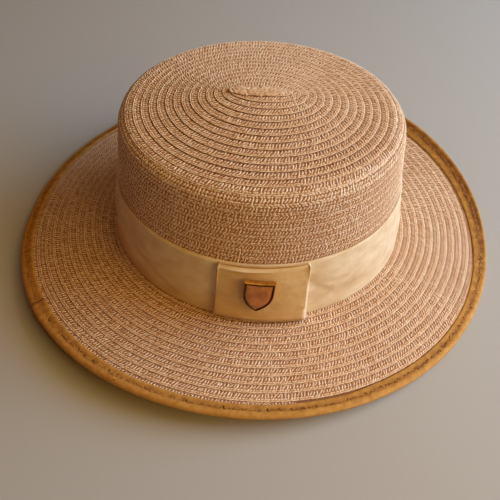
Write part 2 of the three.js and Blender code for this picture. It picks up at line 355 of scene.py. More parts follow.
straw_tape = straw_tape_finish()
crown_winding = Winding(crown_skin, crown_relief, crown_pitch, first_row, crown_run[-1])
crown_tape = wound_tape("crown_tape", crown_winding, crown_steps, crown_inmost, straw_tape)
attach(crown_tape, "root")
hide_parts("crown")

# Crown plait
# The raised strands of the tape: paper straw floats that slant across each row, short ones that cross
# under them, and loops that turn back along the row's outer edge. The ribbon hides those below it.
band_top = 0.047
strand_thickness = 0.0005
strand_inmost = 0.0004
lane_start = 0.25
lane_jitter = 0.14
plait_points = 40000


class Lane(NamedTuple):
    """Strands that lie alike on a row: their step along it, shift along as a share of the step, distance in
    from the row's edge and length as shares of the row's width, width, slant and its spread in degrees, the
    darkest and palest tint, rings in a strand's mesh, and height off the tape."""

    step: float
    shift: float
    inset: float
    length: float
    width: float
    slant: float
    spread: float
    darkest: float
    palest: float
    rings: int = 3
    lift: float = 0.00027


plait_lanes = [
    Lane(0.0030, 0.25, -0.07, 0.75, 0.0009, 3, 6, darkest=0.7, palest=1.3, rings=4),
    Lane(0.0019, 0.5, -0.30, 0.46, 0.0017, 28, 26, darkest=0.5, palest=1.0),
    Lane(0.0020, 0.0, -0.66, 0.60, 0.0012, 60, 20, darkest=0.5, palest=1.1, rings=4, lift=0.00034),
    # Strands in the groove are tinted darker: painted shade.
    Lane(0.0021, 0.6, -0.92, 0.45, 0.0013, 15, 20, darkest=-0.15, palest=0.65),
]
side_lanes = [
    Lane(0.0021, 0.25, -0.12, 0.46, 0.0016, 16, 36, darkest=0.5, palest=1.35),
    Lane(0.0020, 0.0, -0.50, 0.56, 0.0012, 62, 22, darkest=0.65, palest=1.5, rings=4, lift=0.00034),
    # Strands that lie lower and cross under the others are tinted darker: painted shade.
    Lane(0.0020, 0.5, -0.54, 0.42, 0.0012, -48, 30, darkest=0.2, palest=1.0, lift=0.00018),
    Lane(0.0021, 0.6, -0.88, 0.42, 0.0016, -14, 36, darkest=0.5, palest=1.35),
]


def strand_sizes(
    length, width, slant, spread, shades, seed, thickness=strand_thickness, uneven=0.25, sides=4, rings=3
):
    """Sizes of a lane's strands, by the names of the inputs of the strand tree. Slants are in degrees."""
    return {
        "Length": length, "Width": width, "Thickness": thickness, "Slant": math.radians(slant),
        "Slant Spread": math.radians(spread), "Size Spread": uneven, "Sides": sides, "Rings": rings,
        "Darkest": shades[0], "Palest": shades[1], "Seed": seed,
    }


def strand_tree():
    """Sets one strand on each point, turned to the row it lies in and to its own slant."""
    tree = bpy.data.node_groups.new("strands_on_rows", "GeometryNodeTree")
    inputs = {
        "NodeSocketGeometry": ["Geometry"],
        "NodeSocketFloat": [
            "Length", "Width", "Thickness", "Slant", "Slant Spread", "Size Spread", "Darkest", "Palest",
        ],
        "NodeSocketInt": ["Sides", "Rings", "Seed"],
        "NodeSocketMaterial": ["Finish"],
    }
    for kind, labels in inputs.items():
        for label in labels:
            tree.interface.new_socket(label, in_out="INPUT", socket_type=kind)
    tree.interface.new_socket("Geometry", in_out="OUTPUT", socket_type="NodeSocketGeometry")
    given = tree.nodes.new("NodeGroupInput").outputs

    def result(kind, values, output=0, **settings):
        return add(tree, kind, values, **settings).outputs[output]

    def stored(geometry, name, value, domain):
        values = {"Geometry": geometry, "Name": name, "Value": value}
        return result("GeometryNodeStoreNamedAttribute", values, data_type="FLOAT", domain=domain)

    def row_vector(name):
        return result("GeometryNodeInputNamedAttribute", {"Name": name}, data_type="FLOAT_VECTOR")

    def about(middle, spread):
        """The least and the most of a size that spreads both ways."""
        return [reckon(tree, operation, middle, spread) for operation in ("SUBTRACT", "ADD")]

    def drawn(low, high):
        """A number drawn by chance for each strand."""
        values = {2: low, 3: high, "Seed": given["Seed"]}
        return result("FunctionNodeRandomValue", values, output=1, data_type="FLOAT")

    round_strand = {"Segments": given["Sides"], "Rings": given["Rings"], "Radius": 0.5}
    strand = result("GeometryNodeMeshUVSphere", round_strand, output="Mesh")
    across = result("ShaderNodeSeparateXYZ", {0: result("GeometryNodeInputPosition", {})}, output="Y")
    size = result("ShaderNodeCombineXYZ", {0: given["Thickness"], 1: given["Width"], 2: given["Length"]})
    marked = stored(strand, "strand_across", across, "POINT")
    lay = {"Geometry": marked, "Rotation": (0, math.pi / 2, 0), "Scale": size}
    laid = result("GeometryNodeTransform", lay)
    axes = {0: row_vector("row_normal"), 1: row_vector("row_way")}
    turned = result("FunctionNodeAxesToRotation", axes, primary_axis="Z", secondary_axis="X")
    spin = result("ShaderNodeCombineXYZ", {2: drawn(*about(given["Slant"], given["Slant Spread"]))})
    slanted = result("FunctionNodeEulerToRotation", {0: spin})
    aimed = result("FunctionNodeRotateRotation", {0: turned, 1: slanted}, rotation_space="LOCAL")
    least, most = (
        result("ShaderNodeCombineXYZ", {axis: limit for axis in range(3)})
        for limit in about(1.0, given["Size Spread"])
    )
    limits = {0: least, 1: most, "Seed": given["Seed"]}
    grown = result("FunctionNodeRandomValue", limits, data_type="FLOAT_VECTOR")
    setting = {"Points": given["Geometry"], "Instance": laid, "Rotation": aimed, "Scale": grown}
    set_down = result("GeometryNodeInstanceOnPoints", setting)
    tinted = stored(set_down, "strand_tint", drawn(given["Darkest"], given["Palest"]), "INSTANCE")
    real = result("GeometryNodeRealizeInstances", {"Geometry": tinted})
    smooth = result("GeometryNodeSetShadeSmooth", {"Geometry": real, "Shade Smooth": True})
    done = result("GeometryNodeSetMaterial", {"Geometry": smooth, "Material": given["Finish"]})
    tree.links.new(done, tree.nodes.new("NodeGroupOutput").inputs[0])
    return tree


strands_on_rows = strand_tree()


def strand_lane(points, ways, normals, sizes, finish):
    """One lane of strands as a plain mesh object. Sizes go by the names of the tree's inputs."""
    carrier = bpy.data.meshes.new("lane_points")
    carrier.from_pydata(points.tolist(), [], [])
    for label, vectors in (("row_way", ways), ("row_normal", normals)):
        carrier.attributes.new(label, "FLOAT_VECTOR", "POINT").data.foreach_set("vector", vectors.ravel())
    holder = in_scene("lane_points", carrier)
    grown = holder.modifiers.new("strands", "NODES")
    grown.node_group = strands_on_rows
    given = {**sizes, "Finish": finish}
    for item in strands_on_rows.interface.items_tree:
        if item.in_out == "INPUT" and item.name in given:
            grown[item.identifier] = given[item.name]
    seen = holder.evaluated_get(bpy.context.evaluated_depsgraph_get())
    mesh = bpy.data.meshes.new_from_object(seen)
    bpy.data.objects.remove(holder)
    bpy.data.meshes.remove(carrier)
    return in_scene("lane", mesh)


def joined(name, parts):
    """Several meshes as one piece."""
    chosen = {"selected_editable_objects": parts, "selected_objects": parts}
    with bpy.context.temp_override(active_object=parts[0], **chosen):
        bpy.ops.object.join()
    parts[0].name = parts[0].data.name = name
    return parts[0]


def row_frames(skin, bearing, distance, lift, tilt=0.0):
    """Points on a surface, with the way along the row and the way off its tilted tape at each."""
    nudge = 1e-4
    here = skin(bearing, distance, lift)
    way = unit(skin(bearing + nudge, distance, lift) - here)
    out = unit(skin(bearing, distance + nudge, lift) - skin(bearing, distance - nudge, lift))
    normal = unit(np.cross(out, way) - out * np.broadcast_to(tilt, len(here))[:, None])
    return here, way, normal


def plait(name, winding, strands, first, last, seed):
    """The raised strands on the rows of a wound tape whose outer edges lie from first to last."""
    edge = np.linspace(first, last, plait_points)
    fine = 2 * math.pi * np.interp(edge, *winding.turns())
    run = run_along(winding.skin(fine, edge, 0.0))
    lanes = []
    chance = np.random.default_rng(seed)
    for index, lane in enumerate(strands):
        spots = np.arange(lane.step * (lane_start + lane.shift), run[-1], lane.step)
        spots = spots + chance.uniform(-lane_jitter, lane_jitter, len(spots)) * lane.step
        bearing = np.interp(spots, run, fine)
        row_edge = np.interp(spots, run, edge)
        inset = lane.inset * winding.pitch(row_edge)
        down = np.maximum(row_edge + inset, strand_inmost)
        height = lane.lift + winding.height(row_edge, inset)
        frames = row_frames(winding.skin, bearing, down, height, winding.tilt(row_edge))
        length = lane.length * float(winding.pitch(last))
        look = (lane.width, lane.slant, lane.spread, (lane.darkest, lane.palest))
        sizes = strand_sizes(length, *look, seed + index, rings=lane.rings)
        lanes.append(strand_lane(*frames, sizes, straw_strand))
    made = joined(name, lanes)
    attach(made, "root")
    return made


def straw_strand_finish():
    """Paper straw: tan, each strand a little lighter or darker, with fine lengthwise creases."""
    made, tree = new_finish("straw_strand", 0.6, 0.3)
    fibre_width = 0.16
    crease = noise(tree, 1300.0, 2.0)
    wavy = mul_add(tree, crease, 0.12, attribute(tree, "strand_across"))
    fibre = mul_add(tree, reckon(tree, "PINGPONG", wavy, fibre_width), 1 / fibre_width)
    cloudy = mul_add(tree, noise(tree, 26.0, 3.0), 0.5, attribute(tree, "strand_tint"))
    shade = mul_add(tree, fibre, 0.25, mul_add(tree, crease, 0.4, cloudy))
    tones = [
        (0.0, 108, 62, 32), (0.25, 178, 133, 99), (0.54, 219, 184, 153),
        (0.72, 237, 211, 184), (0.95, 249, 231, 208),
    ]
    colour = ramp_of(tree, mul_add(tree, shade, 0.6), tones)
    return finished(made, colour, bumps(tree, fibre, 0.0002, 0.5))


straw_strand = straw_strand_finish()
braid_end = crown_run[-1] - band_top + side_pitch / 2
tip_braid_end = (tip_end + shoulder_end) / 2
crown_tip_plait = plait("crown_tip_plait", crown_winding, plait_lanes, first_row, tip_braid_end, 11)
crown_side_plait = plait("crown_side_plait", crown_winding, side_lanes, tip_braid_end, braid_end, 31)

# Braid start
# The first end of the tape, folded flat and pressed down in the middle of the tip. The first row is sewn
# round it, so it is held all round.
start_shift = -0.004
start_columns = 72
start_rings = [
    # distance out from the tip's middle line, height off the crown
    (0.0026, 0.0002), (0.0041, 0.0004), (0.0044, 0.0007),
    (0.0039, 0.0010), (0.0026, 0.0011), (0.0010, 0.0012),
]
# Waves in a line round a piece: height, number of them and shift
start_ragged = [(0.10, 3, 1), (0.07, 8, 0), (0.05, 17, 2)]
start_pressed = [(0.0001, 5, 0), (0.00008, 11, 1)]
# Rows of strands pressed flat on it: distance out from the middle line, height off the crown
pressed_rows = [(0.0009, 0.00122), (0.0024, 0.0011), (0.0039, 0.0009)]
pressed_count = 30
pressed_length = 0.0036
pressed_width = 0.0016
pressed_slants = (15, -10, -35)
pressed_spread = 45
pressed_tints = (0.2, 0.75)


def waves(bearing, table):
    return sum(height * np.sin(count * bearing + shift) for height, count, shift in table)


def stacked(rings):
    """Points and faces of a body through rings of points, closed at both ends."""
    count, last = len(rings[0]), len(rings) - 1
    sides = np.stack([ring * count + step % count for step, ring in quad_corners(count, last)], 1)
    ends = [list(range(count))[::-1], [last * count + step for step in range(count)]]
    return np.vstack(rings), sides.tolist() + ends


def round_bearings(count):
    """Bearings all the way round, in even steps."""
    return np.linspace(0, 2 * math.pi, count + 1)[:-1]


def braid_start():
    bearing = round_bearings(start_columns)
    ragged = 1 + waves(bearing, start_ragged)
    pressed = waves(bearing, start_pressed)
    rings = [crown_skin(bearing, out * ragged, lift + pressed) for out, lift in start_rings]
    return [ring + [start_shift, 0, 0] for ring in rings]


def pressed_strands():
    """Strands pressed flat on the folded end, in uneven rows round its middle line."""
    lanes = []
    chance = np.random.default_rng(2)
    half = pressed_count // 2
    for row, ((out, lift), slant) in enumerate(zip(pressed_rows, pressed_slants)):
        along = np.arccos(chance.uniform(-1, 1, pressed_count))
        bearing = np.r_[along[:half], -along[half:]]
        points, ways, normals = row_frames(crown_skin, bearing, out, lift)
        look = (pressed_length, pressed_width, slant, pressed_spread, pressed_tints)
        sizes = strand_sizes(*look, 5 + row, uneven=0.3, sides=5, rings=4)
        lanes.append(strand_lane(points + [start_shift, 0, 0], ways, normals, sizes, straw_strand))
    return lanes


crown_start = mesh_piece("crown_start", *stacked(braid_start()), straw_strand)
fold_count = len(crown_start.data.vertices)
for label, low, high in (("strand_tint", 0.1, 0.5), ("strand_across", -0.4, 0.4)):
    mark(crown_start, label, np.random.default_rng(4).uniform(low, high, fold_count))
crown_start = joined("crown_start", [crown_start] + pressed_strands())
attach(crown_start, "root")

# Brim tape and plait
# The same braid goes on outwards from the crown's foot, row over row, and is steamed to a shape that
# falls a little at the two ends. Its edge is turned up a little at the back right.
brim_height = 0.0148
brim_width = 0.0686
brim_edge = 0.0673
brim_skew = 0.0024
brim_drop = 0.0054
brim_drop_wave = 0.0077
brim_drop_most = 0.0115
brim_wave_turn = math.radians(-21)
brim_curve = 1.6
brim_kept_step = 0.6
edge_curl = 0.0034
edge_curl_width = 0.016
edge_curl_bearings = (-20, 25, 80, 130)
bearings_from = -60
binding_width = 0.009
plait_under_binding = 0.0045
brim_row = 0.0054
brim_first_row = 0.0005
brim_inner_rows = 6.1
brim_steps = 216
brim_inmost = -0.002


def brim_fall(bearing):
    wave = brim_drop + brim_drop_wave * np.cos(2 * (bearing - brim_wave_turn))
    return np.minimum(wave, brim_drop_most)


def swell_between(bearing, bearings):
    """0 to 1 to 0 smoothly: up between the first two of four bearings in degrees, down between the others."""
    away = (np.degrees(bearing) - bearings_from) % 360 + bearings_from
    share = np.interp(away, bearings, (0, 1, 1, 0))
    return share**2 * (3 - 2 * share)


def brim_radius(bearing, out):
    """Half width of the brim, which is a little wider in two opposite quarters than in the other two."""
    share = np.maximum(out, 0) / brim_width
    return crown_half_width + out + brim_skew * share**2 * np.sin(2 * bearing)


def brim_skin(bearing, out, lift):
    """Points of the brim, by bearing, distance out from the crown's foot and height off its straw."""
    share = np.maximum(out, 1e-6) / brim_edge
    fall = brim_fall(bearing)
    curl = edge_curl * swell_between(bearing, edge_curl_bearings)
    turned = np.maximum(out - brim_width + edge_curl_width, 0) / edge_curl_width
    height = brim_height - fall * share**brim_curve + curl * turned**2
    slope = -fall * brim_curve * share ** (brim_curve - 1) / brim_edge + 2 * curl * turned / edge_curl_width
    steep = np.sqrt(1 + slope**2)
    return oval(brim_radius(bearing, out) - lift * slope / steep, bearing, height + lift / steep)


def brim_relief(out):
    """The brim is pressed too, so its rows keep part of their step."""
    return np.full_like(out, brim_kept_step)


def brim_pitch(out):
    return np.full_like(out, brim_row)


brim_winding = Winding(brim_skin, brim_relief, brim_pitch, brim_first_row, brim_edge)
brim_tape = wound_tape("brim_tape", brim_winding, brim_steps, brim_inmost, straw_tape)
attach(brim_tape, "root")
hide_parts("brim")
brim_braid_end = brim_width - binding_width + plait_under_binding
brim_mid = brim_first_row + brim_row * brim_inner_rows
brim_inner_plait = plait("brim_inner_plait", brim_winding, plait_lanes, brim_first_row, brim_mid, 51)
brim_outer_plait = plait("brim_outer_plait", brim_winding, plait_lanes, brim_mid, brim_braid_end, 71)

# Binding
# Golden-brown cloth tape folded over the brim's raw edge and sewn through along its middle. More of it
# lies on the upper face at the back right, and its two ends overlap in a small step at the left.
straw_wall = 0.002
tape_wall = 0.001
gap = 0.0003
tape_shift_back = 0.0030
tape_shift_back_bearings = (-35, 10, 90, 140)
tape_shift_front = 0.0008
tape_shift_front_bearings = (225, 250, 290, 299)
binding_valley = 0.0006
binding_pucker = [(0.00012, 210, 0), (0.0001, 47, 1)]
joint_bearing = math.radians(213)
joint_length = math.radians(5)
joint_lap = 0.0005
joint_columns = np.radians([-0.12, 0.12, 4.6, 5.4])
binding_columns = np.unique(np.r_[round_bearings(360), joint_bearing + joint_columns])


def ring_mesh(name, rows, finish):
    """A ring from rows of points that go round it. Its last row is joined to its first."""
    rows = np.array(rows)
    count, around = rows.shape[:2]
    corners = quad_corners(around, count)
    faces = np.stack([side % count * around + step % around for step, side in corners], 1)
    run = run_along(np.concatenate([rows[0], rows[0][:1]]))
    girth = run_along(np.concatenate([rows[:, 0], rows[:1, 0]]))
    uv = np.stack([np.stack([run[step], girth[side]], 1) for step, side in corners], 1)
    return mesh_piece(name, rows.reshape(-1, 3), faces, finish, uv.reshape(-1, 2))


def binding_reach(bearing):
    """Width of the binding on the brim's upper face: more of the tape lies there at the back right."""
    back = tape_shift_back * swell_between(bearing, tape_shift_back_bearings)
    return binding_width + back - tape_shift_front * swell_between(bearing, tape_shift_front_bearings)


def binding_rows():
    """Rows of points round the tape's section, and the painted shade at each point, deepest where the
    stitches draw the tape in and in the valley at the back right. A value below 0 is a painted highlight on
    the nose."""
    bearing = binding_columns
    lap = np.where((bearing > joint_bearing) & (bearing < joint_bearing + joint_length), joint_lap, 0.0)
    pucker = waves(bearing, binding_pucker)
    at_back = swell_between(bearing, tape_shift_back_bearings)
    valley = binding_valley * at_back
    reach = binding_reach(bearing)
    reach_below = 2 * binding_width - reach
    inner = brim_width - reach
    inner_below = brim_width - reach_below
    edge_height = brim_height - brim_fall(bearing) + edge_curl * swell_between(bearing, edge_curl_bearings)

    def on_brim(out, lift):
        return brim_skin(bearing, out, lift)

    def level(out, lift):
        return oval(brim_radius(bearing, out), bearing, edge_height + lift)

    top = gap + tape_wall
    face = top + lap
    cloth = face + pucker
    under = -straw_wall - gap
    low = -straw_wall - top
    nose = brim_width
    rows = [
        # points, and the painted shade at the front and at the back right: most where the stitches draw the
        # tape in, and below 0 a painted highlight on the nose
        (on_brim(inner_below, under), 0, 0),
        (on_brim(inner_below - 0.0001, under - tape_wall * 0.7), 0, 0),
        (on_brim(inner_below + 0.0008, low), 0.4, 0.4),
        (on_brim(inner_below + 0.35 * reach_below, low), 1, 1),
        (level(nose - 0.0036, low), 0.2, 0.2),
        (level(nose - 0.0012, low), 0, 0),
        (level(nose - 0.0004 + lap * 0.6, low + 0.0011), 0, 0),
        (level(nose + lap * 0.6, low / 2), -0.3, -0.3),
        (level(nose - 0.0003 + lap * 0.6, -0.0002 + lap), -0.7, -0.8),
        (level(nose - 0.0011 + lap * 0.4, face - 0.0003), -0.3, 0.2),
        (on_brim(nose - 0.0026, face + 0.0002 - valley), 0.1, 2.2),
        (on_brim(nose - 0.0037, cloth + 0.0001 - valley), 0.6, 2.4),
        (on_brim(inner + 0.0042, cloth - 0.0001), 1, 1.4),
        (on_brim(inner + 0.0030, face - 0.0003), 1, 1.1),
        (on_brim(inner + 0.0016, cloth + 0.0001), 0.5, 1),
        (on_brim(inner + 0.0005, cloth - 0.0001), 0, 0.8),
        (on_brim(inner, face - 0.0006), 0.2, 0.8),
        (on_brim(inner + 0.0002, gap), 0, 0),
        (on_brim(brim_edge - 0.002, gap), 0, 0),
        (level(brim_edge + gap, gap), 0, 0),
        (level(brim_edge + gap, under), 0, 0),
        (on_brim(brim_edge - 0.002, under), 0, 0),
    ]
    points, front, back = zip(*rows)
    return points, np.concatenate([row + (other - row) * at_back for row, other in zip(front, back)])


def binding_finish():
    """Ribbed cloth tape with cloudy wear, with painted shade where the stitches draw it in and across its
    back right, and a painted highlight on its nose.
    """
    made, tree = new_finish("binding_cloth", 0.75, 0.2)
    split = add(tree, "ShaderNodeSeparateXYZ", {0: place_along(tree)}).outputs
    ribs = [reckon(tree, "PINGPONG", split[way], width) for way, width in (("X", 0.00022), ("Y", 0.0003))]
    cloth = mul_add(tree, reckon(tree, "ADD", *ribs), 1900.0)
    worn = mul_add(tree, noise(tree, 260.0, 4.0), 0.7, mul_add(tree, cloth, 0.25, 0.1))
    # Painted shade and highlight, read from the marks on the binding's points.
    shade = mul_add(tree, attribute(tree, "shade_and_highlight"), -0.2, worn)
    tones = [(0.0, 104, 60, 20), (0.2, 138, 92, 38), (0.55, 188, 140, 70), (0.95, 216, 174, 106)]
    return finished(made, ramp_of(tree, shade, tones), bumps(tree, cloth, 0.0001, 0.5))


binding_points, binding_shade_and_highlight = binding_rows()
brim_binding = ring_mesh("brim_edge_binding", binding_points, binding_finish())
mark(brim_binding, "shade_and_highlight", binding_shade_and_highlight)
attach(brim_binding, "root")
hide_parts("brim_binding")

# Binding stitches
# A zigzag of dark thread, sewn through tape and straw along the middle of the tape, on both faces. A few
# stitches cross the tape at its joint, where some ends fray out, and at a mend.
stitch_step = 0.0018
stitch_share = 0.52
stitch_sway = 0.0009
stitch_sunk = 0.0001
stitch_thickness = 0.0006
stitch_points = 4000
# Length, width, slant in degrees and its spread
zigzag_stitches = [(0.0030, 0.0011, -42, 28), (0.0030, 0.0011, 42, 28)]
cross_stitch = (0.0020, 0.0006, 12, 18)
frayed_end = (0.0032, 0.0004, 75, 30)
cross_from = brim_width - binding_width + 0.0008
cross_to = brim_width - 0.001
cross_step = 0.0013
mend_bearing = math.radians(242)
# Bearing of the crossing stitches and their height over the zigzag, at the joint and at the mend
crossings = [(joint_bearing, 0.0004), (mend_bearing, 0.0001)]
frayed_bearings = joint_bearing + np.radians([-0.5, -0.2, 0.1, 0.4])
frayed_out = 0.0002
frayed_lift = -0.0008


def thread_finish():
    """Waxed thread, each stitch between brown and the tape's own gold."""
    made, tree = new_finish("dark_thread", 0.6, 0.3)
    twist = noise(tree, 900.0, 2.0)
    shade = mul_add(tree, twist, 0.5, mul_add(tree, attribute(tree, "strand_tint"), 0.7, -0.2))
    tones = [(0.1, 112, 70, 24), (0.5, 150, 102, 42), (0.9, 184, 134, 62)]
    return finished(made, ramp_of(tree, shade, tones))


dark_thread = thread_finish()


def stitch_lane(frames, stitch, seed):
    sizes = strand_sizes(*stitch, (0.0, 1.0), seed, thickness=stitch_thickness, uneven=0.4)
    return strand_lane(*frames, sizes, dark_thread)


def binding_stitches():
    fine = np.linspace(0, 2 * math.pi, stitch_points)
    run = run_along(brim_skin(fine, brim_width - binding_width / 2, 0.0))
    spots = np.interp(np.arange(0, run[-1], stitch_step), run, fine)
    sway = brim_width - (1 - stitch_share) * binding_reach(spots)
    sway = sway + np.random.default_rng(3).uniform(-stitch_sway, stitch_sway, len(spots))
    top = gap + tape_wall - stitch_sunk
    lanes = []
    for seed, lift in ((5, top), (7, -straw_wall - top)):
        frames = row_frames(brim_skin, spots, sway, lift)
        for side, stitch in enumerate(zigzag_stitches):
            lanes.append(stitch_lane([part[side::2] for part in frames], stitch, seed + side))
    across = np.arange(cross_from, cross_to, cross_step)
    for seed, (bearing, lift) in enumerate(crossings, 9):
        lanes.append(stitch_lane(row_frames(brim_skin, bearing, across, top + lift), cross_stitch, seed))
    frayed = row_frames(brim_skin, frayed_bearings, brim_width + frayed_out, frayed_lift)
    lanes.append(stitch_lane(frayed, frayed_end, 11))
    return joined("binding_stitches", lanes)


stitches = binding_stitches()
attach(stitches, "root")

# Band
# Satin ribbon drawn round the foot of the crown. It lies a little loose, so it has shallow folds, and it
# has a firm woven edge along each side.
ribbon_wall = 0.001
band_foot = -0.0008
band_columns = round_bearings(360)
band_levels = np.linspace(0, 1, 29)
band_back_levels = (0.97, 0.5, 0.03)
band_belly = 0.0008
band_edge = 0.03
band_edge_ridge = 0.0002
band_rim_share = 0.45
band_creases = [
    # bearing of the middle, share of the height there, rise along it, reach, width and depth
    (204, 0.62, 0.30, 14, 0.055, 0.0011), (222, 0.40, -0.22, 18, 0.06, 0.0011),
    (238, 0.70, 0.25, 12, 0.05, 0.0009), (250, 0.30, 0.20, 9, 0.05, 0.0009),
    (292, 0.55, -0.35, 11, 0.08, 0.0007), (305, 0.35, 0.30, 12, 0.07, 0.0006),
    (318, 0.70, -0.25, 14, 0.07, 0.0006), (338, 0.45, 0.30, 14, 0.07, 0.0006),
    (30, 0.5, 0.3, 18, 0.06, 0.0006), (80, 0.6, -0.3, 20, 0.06, 0.0006),
    (125, 0.4, 0.25, 18, 0.06, 0.0006), (165, 0.55, -0.3, 16, 0.06, 0.0006),
]


def side_radius(height):
    return crown_half_width - crown_taper * height / (crown_height - tip_dome - shoulder)


def crease_depth(bearing, share):
    """How far the ribbon is creased in at a share of its height."""
    depth = np.zeros(len(bearing))
    for middle, level, rise, reach, width, most in band_creases:
        away = (np.degrees(bearing) - middle + 180) % 360 - 180
        off = (share - level - rise * away / reach) / width
        depth += most * np.exp(-((away / reach) ** 2) - off**2)
    return depth


def band_rows():
    """Rows of the ribbon's back from the top down, and then of its front from the foot up."""
    bearing = band_columns

    def row(share, out):
        height = band_foot + (band_top - band_foot) * share
        return oval(side_radius(height) + out, bearing, crown_foot + height)

    rows = [row(share, gap) for share in band_back_levels]
    for share in band_levels:
        belly = math.sin(math.pi * share)
        fold = waves(bearing, [(0.00035, 3, 7 * share), (0.0002, 11, 2 - 9 * share)])
        at_edge = any(abs(share - middle) < band_edge for middle in (band_edge, 1 - band_edge))
        thick = ribbon_wall * (band_rim_share if share in (0, 1) else 1.0)
        loose = belly * (fold + band_belly - crease_depth(bearing, share))
        rows.append(row(share, gap + thick + band_edge_ridge * at_edge + loose))
    return rows


def satin_finish(name, low, high):
    """Satin ribbon: close weft lines along it, a smooth gloss, soft crumples, and cloudy patches that are
    partly faint wear and partly painted sheen. Where a piece marks its points, it adds a painted highlight on
    folds that turn over and painted shade on the hidden inner wall."""
    made, tree = new_finish(name, 0.45, 0.25)
    # The palest colour, reached mostly where a painted highlight is marked.
    highlight_white = (252, 242, 224)
    along = place_along(tree)
    drawn, soft = (
        add(tree, "ShaderNodeMapping", {"Vector": along, "Scale": scale}).outputs[0]
        for scale in ((60.0, 1400.0, 1.0), (75.0, 120.0, 1.0))
    )
    streak = noise(tree, 1.0, 3.0, drawn)
    crumple = noise(tree, 1.0, 2.0, soft)
    # The cloudy patches are partly faint wear and partly painted sheen, lighter on the crumples.
    cloud_and_sheen = mul_add(tree, crumple, 0.4, mul_add(tree, noise(tree, 55.0, 3.0), 0.35, 0.05))
    # Painted highlight and shade from the marks on the points.
    worn = mul_add(tree, attribute(tree, "fold_light_and_shade"), 0.5, cloud_and_sheen)
    colour = ramp_of(tree, mul_add(tree, streak, 0.2, worn), [(0.3, *low), (0.7, *high), (1.0, *highlight_white)])
    rumpled = bumps(tree, crumple, 0.0016, 0.5)
    return finished(made, colour, bumps(tree, streak, 0.00012, 0.4, over=rumpled))


band_satin = satin_finish("band_satin", (208, 180, 134), (242, 231, 206))
hat_band = ring_mesh("ribbon_band", band_rows(), band_satin)
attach(hat_band, "root")
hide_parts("hat_band")

# Bow
# A flat loop of the same ribbon, folded at both ends and sewn on the front of the band. Its upper edge
# is pressed back and rolled over a little near its left end.
bow_foot_width = 0.0565
bow_top_width = 0.053
bow_depth = 0.004
bow_side = 0.0048
bow_slant = 0.001
bow_back = gap + ribbon_wall + gap
bow_foot = 0.004
bow_hang = 0.0025
bow_sag = -0.0003
bow_top = band_top - 0.0005
bow_bulge_foot = 0.0003
bow_bulge_top = 0.0015
bow_fold = 0.0008
bow_press = 0.0012
bow_press_from = 0.7
bow_pinch = 0.0018
bow_pinch_from = 0.5
bow_lift = 0.0014
bow_lip = 0.0011
bow_inside_shade = -0.6
bow_front_columns = 41
bow_back_columns = 21
bow_fold_columns = 9
bow_levels = np.r_[np.linspace(0, 0.88, 14), np.linspace(0.9, 1, 15)]
roll_from = 0.935
roll_middle = -0.013
roll_reach = 0.014
roll_least = 0.15


def bow_roll(front, rise):
    """How far the front's upper edge rolls over, at a distance along it: most near its left end."""
    taper = roll_least + (1 - roll_least) * np.exp(-(((front - roll_middle) / roll_reach) ** 2))
    return math.sin(math.pi * min(max((rise - roll_from) / (1 - roll_from), 0.0), 1.0)) * taper


def bow_bulge(rise):
    """How far the middle of the loop's front stands out at a share of its height."""
    return bow_bulge_foot + (bow_bulge_top - bow_bulge_foot) * rise


def past(rise, start):
    """0 up to a share of the height, and from there 0 to 1 more and more steeply."""
    return max(0.0, (rise - start) / (1 - start)) ** 2


def bow_outline(inset, rise):
    """Distance along the band and out from the crown, going round the loop at one share of its height."""
    straight = (bow_foot_width + (bow_top_width - bow_foot_width) * rise) / 2 - bow_fold
    half = bow_depth / 2 - inset
    fold = bow_fold - inset
    centre = bow_back + bow_depth / 2
    front = np.linspace(-straight, straight, bow_front_columns)
    bulge = (bow_bulge(rise) - bow_press * past(rise, bow_press_from)) * (1 - (front / straight) ** 2)
    pinch = bow_pinch * past(rise, bow_pinch_from)
    lift = bow_lift * (1 - rise) * (front / straight + 1) ** 2 / 4
    turn = np.linspace(math.pi / 2, -math.pi / 2, bow_fold_columns + 2)[1:-1]
    back = np.linspace(straight, -straight, bow_back_columns)
    along = np.r_[front, straight + fold * np.cos(turn), back, -straight - fold * np.cos(turn)]
    out = np.r_[
        centre + half + bulge - pinch + lift + bow_lip * bow_roll(front, rise),
        centre + half * np.sin(turn),
        np.full(len(back), centre - half),
        centre - half * np.sin(turn),
    ]
    return along, out


def front_points(along, height, out):
    """Points on the front of the crown, by distance along from the bow's middle, height and distance out."""
    radius = side_radius(height)
    lean = bow_slant * ((height - bow_foot) / (bow_top - bow_foot) - 0.5)
    bearing = -math.pi / 2 + (bow_side + lean + along) / (crown_stretch + radius)
    return oval(radius + out, bearing, crown_foot + height)


def bow_rows():
    """Rows of the loop's outer and inner wall, and the painted light at each point: a painted highlight on
    the lip where the front turns over and on the right fold, and painted shade on the inner wall.
    """
    rows, fold_light_and_shade = [], []
    for inset, levels in ((0.0, bow_levels), (ribbon_wall, bow_levels[::-1])):
        for rise in levels:
            along, out = bow_outline(inset, rise)
            foot = bow_foot - bow_hang * (along / bow_foot_width + 0.5)
            middle = 1 - (2 * along / bow_top_width) ** 2
            at_front = out > bow_back + bow_depth / 2
            sag = np.where(at_front, bow_sag * rise**3 * np.maximum(middle, 0), 0)
            rows.append(front_points(along, foot + (bow_top - foot) * rise - sag, out))
            # The right fold end and the front's lip get a painted highlight, and the inner wall gets painted
            # shade.
            ends = np.where(along > bow_top_width / 2 - bow_fold, 1.0, 0.0)
            front = np.where(at_front, bow_roll(along, rise), 0.0)
            fold_light_and_shade.append(np.maximum(front, ends) if inset == 0 else np.full(len(along), bow_inside_shade))
    return rows, np.concatenate(fold_light_and_shade)


